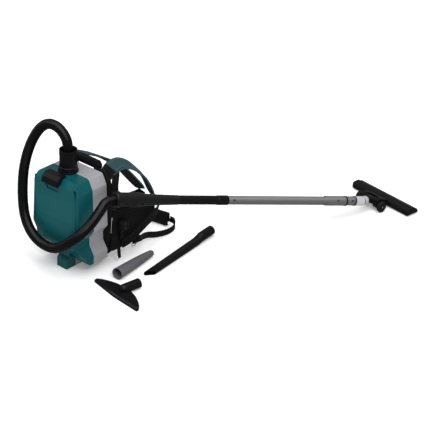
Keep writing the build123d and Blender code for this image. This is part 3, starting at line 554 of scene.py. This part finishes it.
def rounded_section(cells, edge):
    """Closed section: u runs across, v through; the edges are thinner than the middle."""
    u = np.linspace(-1, 1, cells + 1)
    top = edge + (1 - edge) * np.sqrt(np.clip(1 - np.abs(u) ** 3.2, 0, 1))
    return np.concatenate([np.stack([u, top], 1), np.stack([u[::-1], -top[::-1]], 1)])


def pad_strip(name, rows, thick, paints, slots, picks, cells=10, step=0.006, edge=0.45, shrink=0.0015):
    """Padded strip. Its rim is sewn flat, its faces are crowned, and its ends are rounded."""
    rows, far = smooth_rows(rows, step)
    line, half, along, across, normal = strip_frame(rows)
    section = rounded_section(cells, edge)
    ease = np.clip(np.minimum(far, far[-1] - far) / 0.016, 0, 1)
    narrow = 0.80 + 0.20 * np.sqrt(1 - (1 - ease) ** 2)
    thin = 0.5 + 0.5 * np.sqrt(1 - (1 - ease) ** 2)
    half = (half - shrink) * narrow
    depth = (thick / 2 - shrink) * thin
    rings = (line[:, None, :] + (section[None, :, 0:1] * half[:, None, None]) * across[:, None, :]
             + (section[None, :, 1:2] * depth[:, None, None]) * normal[:, None, :])
    wide = float(half.mean())
    inset = [wide * (1 - abs(u)) for u in section[:, 0]]
    girth = inset + [inset[0]]
    obj = loft(name, rings, far, girth, [paints[s] for s in slots],
               picks=lambda i, k: picks(far[i] / far[-1], k, cells))
    pins = [i * len(section) + k for i in range(len(rows)) for k in (0, cells, cells + 1, 2 * cells + 1)]
    pins += list(range(len(section))) + [len(obj.data.vertices) - 1 - k for k in range(len(section))]
    obj.vertex_groups.new(name="seam").add(pins, 1.0, "REPLACE")
    rims = []
    for s in (-1, 1):
        rim = line + s * half[:, None] * across
        rims.append((rim, across, depth * edge))
    return obj, rims


def binding(name, rims, paint, width=0.0030, grow=0.0009):
    """Tape folded over both long edges of a pad."""
    made = []
    for n, (rim, across, depth) in enumerate(rims):
        line, _ = evenly(np.hstack([rim, across, depth[:, None]]), 0.006)
        along = tangents(line[:, :3])
        side = unit(line[:, 3:6] - along * np.sum(line[:, 3:6] * along, axis=1, keepdims=True))
        up = np.cross(along, side)
        angles = np.linspace(0, 2 * math.pi, 14, endpoint=False)
        high = (line[:, 6] + grow)[:, None, None]
        rings = (line[:, None, :3] + width * np.cos(angles)[None, :, None] * side[:, None, :]
                 + high * np.sin(angles)[None, :, None] * up[:, None, :])
        runs = np.linalg.norm(np.diff(line[:, :3], axis=0), axis=1)
        stations = np.concatenate(([0.0], np.cumsum(runs)))
        made.append(loft(f"{name}_{n}", rings, stations, np.linspace(0, 0.02, 15), [paint]))
    return made


def webbing_strip(name, rows, thick, paint, step=0.005):
    """Flat woven strap with slightly thick selvedges."""
    rows, far = smooth_rows(rows, step)
    line, half, along, across, normal = strip_frame(rows)
    u = np.array([-1, -0.985, -0.86, -0.6, -0.3, 0, 0.3, 0.6, 0.86, 0.985, 1])
    v = np.array([0.35, 0.9, 1.0, 0.8, 0.8, 0.8, 0.8, 0.8, 1.0, 0.9, 0.35])
    section = np.concatenate([np.stack([u, v], 1), np.stack([u[::-1], -v[::-1]], 1)])
    rings = (line[:, None, :] + (section[None, :, 0:1] * half[:, None, None]) * across[:, None, :]
             + (section[None, :, 1:2] * (thick / 2)) * normal[:, None, :])
    wide = float(half.mean())
    inset = [wide * (1 - abs(a)) for a in section[:, 0]]
    obj = loft(name, rings, far, inset + [inset[0]], [paint])
    return obj, float(far[-1]), 2 * wide


def settle(obj, body, nodes=()):
    """Ties a piece to its body, and hides the CAD nodes that it stands for."""
    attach(obj, body)
    if nodes:
        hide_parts(*nodes)


CLOTH_FRAMES = 20
CLOTH_PRESSURE = 4.0


def inflate(pieces):
    """Cloth simulation of the padded pieces, all in one run. Each piece comes with the furthest a point may move."""
    scene = bpy.context.scene
    for obj, _ in pieces:
        cloth = obj.modifiers.new("cloth", "CLOTH")
        cloth.settings.quality = 6
        cloth.settings.mass = 0.3
        cloth.settings.use_pressure = True
        cloth.settings.uniform_pressure_force = CLOTH_PRESSURE
        cloth.settings.tension_stiffness = 15
        cloth.settings.bending_stiffness = 0.5
        cloth.settings.effector_weights.gravity = 0
        cloth.settings.vertex_group_mass = "seam"
        cloth.settings.pin_stiffness = 1.0
        cloth.collision_settings.use_collision = False
        cloth.point_cache.frame_start, cloth.point_cache.frame_end = 1, CLOTH_FRAMES
    for frame_number in range(1, CLOTH_FRAMES + 1):
        scene.frame_set(frame_number)
    depsgraph = bpy.context.evaluated_depsgraph_get()
    moved = []
    for obj, cap in pieces:
        done = obj.evaluated_get(depsgraph).to_mesh()
        after = np.array([v.co for v in done.vertices])
        before = np.array([v.co for v in obj.data.vertices])
        shift = after - before
        length = np.linalg.norm(shift, axis=1, keepdims=True)
        moved.append(before + shift * np.minimum(1.0, cap / np.maximum(length, 1e-9)))
    for (obj, _), points in zip(pieces, moved):
        obj.modifiers.remove(obj.modifiers["cloth"])
        obj.data.vertices.foreach_set("co", points.astype(np.float32).ravel())
        obj.data.update()
    scene.frame_set(1)


def finer(obj):
    """One more level of smooth faces."""
    surface = obj.modifiers.new("finer", "SUBSURF")
    surface.levels = surface.render_levels = 1


MM = 0.001


def rows_mm(points, halves, wides):
    """Rows for a strip from millimetres."""
    return [[x * MM, y * MM, z * MM, h * MM, *w] for (x, y, z), h, w in zip(points, halves, wides)]


RIGHT_PAD = [(82, 100, 338), (82, 109, 358), (82, 126, 369), (82, 150, 374), (82, 176, 371), (82, 205, 358),
             (82, 234, 338), (82, 262, 312), (82, 288, 284), (82, 308, 254), (82, 323, 226), (83, 335, 200),
             (84, 347, 178)]
RIGHT_HALF = [22, 25, 28, 28, 28, 28, 28, 27, 26, 25, 24, 22, 20]
LEFT_PAD = [(-84, 100, 338), (-84, 109, 356), (-84, 126, 366), (-84, 150, 364), (-84, 180, 350), (-84, 215, 331),
            (-84, 252, 308), (-83, 290, 281), (-82, 330, 247), (-80, 368, 210), (-78, 403, 169), (-76, 434, 132),
            (-75, 452, 108)]
LEFT_HALF = [22, 25, 28, 28, 28, 28, 28, 28, 27, 26, 26, 25, 22]
LEFT_TURN = [(1, 0, 0.06)] * 6 + [(1, 0, 0.12), (1, 0, 0.2), (1, 0, 0.3), (1, 0, 0.36)] + [(1, 0, 0.4)] * 3
NEAR_WING = [(119, 91, 138), (121, 170, 134), (121, 230, 137), (118, 286, 144), (111, 326, 148)]
FAR_WING = [(-120.5, 100, 66), (-122, 190, 62), (-120, 280, 54), (-104, 350, 46), (-62, 400, 38), (4, 434, 33),
            (72, 447, 31)]
RIGHT_STRAP = [(86, 352, 164), (98, 357, 156), (118, 344, 150), (134, 304, 141), (141, 262, 130), (143, 219, 114),
               (143, 188, 101), (142, 160, 90), (136, 128, 82)]
RIGHT_WIDE = [(1, 0, 0), (0.8, 0, 0.6), (0.4, 0, 1)] + [(0, 0, 1)] * 6
LEFT_STRAP = [(-75, 458, 98), (-80, 461, 88), (-92, 452, 78), (-108, 420, 70), (-122, 385, 64), (-134, 345, 62),
              (-141, 300, 62), (-143, 240, 62), (-141, 190, 62), (-138, 140, 62), (-134, 104, 62)]
LEFT_WIDE = [(1, 0, 0), (0.8, 0.4, -0.4), (0.35, 0.2, -0.86), (0.1, 0.1, -1)] + [(0, 0, -1)] * 7
STRAP_TIP = [(130.2, 119, 74), (130.4, 119, 60), (131, 120, 44), (132.5, 122, 26)]
WAIST_LOOP = [(72, 456.5, 32), (90, 460, 27), (107, 446, 18), (112, 415, 14), (107, 382, 14), (102, 344, 21),
              (104, 300, 38), (118, 258, 54), (132, 232, 64), (134.5, 206, 74)]


def is_outer(k, cells):
    """True for the side of a shoulder pad that faces away from the wearer, and its edges."""
    return k >= cells


def make_pads(paints):
    """Shoulder pads and belt wings. Gives the pieces that the simulation swells."""
    soft = []

    def right_face(t, k, cells):
        return 0 if is_outer(k, cells) and 0.11 < t < 0.58 else 1

    def left_face(t, k, cells):
        return 0 if is_outer(k, cells) and 0.09 < t < 0.86 else 1

    for name, points, halves, wides, face in (
            ("right_pad", RIGHT_PAD, RIGHT_HALF, [(0.89, 0, -0.45)] * len(RIGHT_PAD), right_face),
            ("left_pad", LEFT_PAD, LEFT_HALF, LEFT_TURN, left_face)):
        rows = rows_mm(points, halves, wides)
        pad, rims = pad_strip(name, rows, 0.015, paints, ["teal_fabric", "black_fabric"], face)
        settle(pad, "root", ["shoulder_pads"])
        soft.append((pad, 0.0022))
        for tape in binding(f"{name}_tape", rims, paints["teal_binding"], 0.0022, 0.0004):
            settle(tape, "root")
    for name, points, halves in (("near_wing", NEAR_WING, [77, 71, 58, 41, 25]),
                                 ("far_wing", FAR_WING, [44, 42, 38, 34, 31, 29, 27])):
        rows = rows_mm(points, halves, [(0, 0, 1)] * len(points))
        pad, rims = pad_strip(name, rows, 0.014, paints, ["black_fabric"], lambda t, k, cells: 0, cells=12)
        settle(pad, "root", ["belt_wings"])
        soft.append((pad, 0.0022))
        for tape in binding(f"{name}_tape", rims, paints["binding"]):
            settle(tape, "root")
    return soft


def make_webbing(paints):
    """Straps, load lifters, waist strap and the D-ring's loop, shaped along their routes."""
    side_rows = []
    for side in (1, -1):
        lifter = [(side * 103, 128, 363), (side * 111, 119, 348), (side * 119, 107, 322), (side * 124, 103, 295),
                  (side * 125, 102, 262)]
        name = "right_lifter" if side > 0 else "left_lifter"
        side_rows.append((name, lifter, [14] * 5, [(0.3 * side, 1, 0)] * 5, 0.0022))
    straps = [("right_strap", RIGHT_STRAP, [16, 16, 17, 18, 18, 17, 17, 17, 17], RIGHT_WIDE, 0.0024),
              ("left_strap", LEFT_STRAP, [16, 16, 16, 17, 18, 19, 19, 19, 19, 19, 19], LEFT_WIDE, 0.0024),
              ("strap_tip", STRAP_TIP, [8, 8, 8, 6], [(0, 1, 0)] * 4, 0.0018)] + side_rows
    for name, points, halves, wides, thick in straps:
        obj, length, width = webbing_strip(name, rows_mm(points, halves, wides), thick, paints["webbing"])
        settle(obj, "root", ["strap_webbing"])
    rows = rows_mm(WAIST_LOOP, [12.5] * len(WAIST_LOOP), [(0, 0, 1)] * len(WAIST_LOOP))
    obj, length, width = webbing_strip("waist_strap", rows, 0.0022, paints["webbing"])
    settle(obj, "root", ["waist_webbing"])
    low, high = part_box("ring_tab")
    x, y = (low[0] + high[0]) / 2, (low[1] + high[1]) / 2
    r, bottom, top = 0.0022, 0.040, high[2]
    fold = [(x + r * math.cos(a), y, bottom - r * math.sin(a)) for a in np.linspace(math.pi, 0, 9)]
    loop = [(x - r * 0.7, y, top)] + fold + [(x + r * 0.7, y, top)]
    rows = [[*p, 0.007, 0, 1, 0] for p in loop]
    obj, length, width = webbing_strip("ring_loop", rows, 0.0012, paints["webbing"], 0.0015)
    settle(obj, "root", ["ring_tab"])


# ---- upright cushions: back pad, lumbar pad, dust bag ---------------------------------
def cushion(name, outline, y0, y1, paints, slots, columns=26, rows=18, rim=0.012, channels=(), shrink=0.0015):
    """Pad that stands across the back. outline gives (z, half width) from low to high."""
    zs = np.linspace(outline[0][0], outline[-1][0], rows + 1)
    halves = np.interp(zs, [o[0] for o in outline], [o[1] for o in outline])
    u = np.linspace(-1, 1, columns + 1)
    points, faces, uvs, picks = [], [], [], []
    middle, deep = (y0 + y1) / 2, (y1 - y0) / 2 - shrink
    for sign in (-1, 1):
        for z, half in zip(zs, halves):
            for a in u:
                x = a * (half - shrink)
                from_side = (1 - abs(a)) * half
                from_end = min(z - zs[0], zs[-1] - z)
                near = min(1.0, min(from_side, from_end) / rim)
                full = 0.30 + 0.70 * math.sqrt(max(0.0, 1 - (1 - near) ** 2))
                y = middle + sign * deep * full
                if sign > 0:
                    for c in channels:
                        y -= 0.0028 * math.exp(-((x - c * (half / halves.max())) / 0.0028) ** 2)
                points.append((x, y, z))
    across, size = columns + 1, (columns + 1) * (rows + 1)

    def add_face(loop, spots, pick):
        faces.append(loop)
        uvs.extend(spots)
        picks.append(pick)

    for sign, start in ((-1, 0), (1, size)):
        for j in range(rows):
            for i in range(columns):
                loop = [start + j * across + i, start + j * across + i + 1, start + (j + 1) * across + i + 1,
                        start + (j + 1) * across + i]
                spots = [(points[k][0] + 0.2, points[k][2]) for k in loop]
                if sign > 0:
                    loop, spots = loop[::-1], spots[::-1]
                add_face(tuple(loop), spots, 0 if sign > 0 else 1)
    rim_loop = list(range(across)) + [j * across + columns for j in range(1, rows + 1)]
    rim_loop += [rows * across + i for i in range(columns - 1, -1, -1)] + [j * across for j in range(rows - 1, 0, -1)]
    count = len(rim_loop)
    for n in range(count):
        a, b = rim_loop[n], rim_loop[(n + 1) % count]
        low_spot, high_spot = (0.01 * n, 0.01), (0.01 * n, 0.02)
        add_face((b, a, a + size, b + size), [low_spot, low_spot, high_spot, high_spot], 1)
    obj = new_piece(name, points, faces, [paints[s] for s in slots], picks, uvs)
    obj.vertex_groups.new(name="seam").add(rim_loop + [k + size for k in rim_loop], 1.0, "REPLACE")
    return obj


def make_cushions(paints):
    """Back pad, lumbar cushion and paper bag with its card. Gives the pieces that the simulation swells."""
    soft = []
    low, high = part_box("back_pad")
    outline = [(low[2], 0.080), (low[2] + 0.012, 0.086), (high[2] - 0.012, 0.086), (high[2], 0.074)]
    pad = cushion("mesh_back_pad", outline, low[1], high[1], paints, ["air_mesh", "black_fabric"],
                  channels=(-0.043, 0.0, 0.043))
    settle(pad, "root", ["back_pad"])
    soft.append((pad, 0.002))
    low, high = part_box("lumbar_pad")
    outline = [(0.002, 0.060), (0.052, 0.109), (0.104, 0.112), (0.116, 0.104)]
    pad = cushion("lumbar_cushion", outline, low[1], high[1], paints, ["air_mesh", "black_fabric"], columns=30,
                  rim=0.022, channels=(-0.07, -0.024, 0.024, 0.07))
    settle(pad, "root", ["lumbar_pad"])
    soft.append((pad, 0.003))

    outline = [(0.234, 0.080), (0.250, 0.088), (0.322, 0.088), (0.338, 0.080)]
    bag = cushion("paper_bag", outline, -0.060, 0.062, paints, ["bag_fabric", "bag_fabric"], columns=24, rows=14,
                  rim=0.040)
    settle(bag, "root", ["dust_bag"])
    soft.append((bag, 0.003))
    angles = np.linspace(0, 2 * math.pi, 48, endpoint=False)
    centre = np.array([-0.008, 0.004])
    rings = []
    for z, inner in ((0.346, True), (0.346, False), (0.3495, False), (0.3495, True)):
        ring = []
        for a in angles:
            c, s = math.cos(a), math.sin(a)
            if inner:
                ring.append((centre[0] + 0.021 * c, centre[1] + 0.021 * s, z))
            else:
                r = 1 / max(abs(c) / 0.042, abs(s) / 0.038)
                r = min(r, 0.047)
                ring.append((r * c, -0.008 + r * s, z))
        rings.append(ring)
    rings.append(rings[0])
    collar = loft("bag_card", np.array(rings), np.linspace(0, 0.1, 5), np.linspace(0, 0.3, 49), [paints["card"]],
                  caps=False)
    settle(collar, "root")
    return soft


make_camera()
make_stage()
PAINTS = make_materials()
make_hose(PAINTS)
dress_nodes(PAINTS)
SOFT = make_pads(PAINTS) + make_cushions(PAINTS)
make_webbing(PAINTS)
inflate(SOFT)
for piece, _ in SOFT:
    finer(piece)
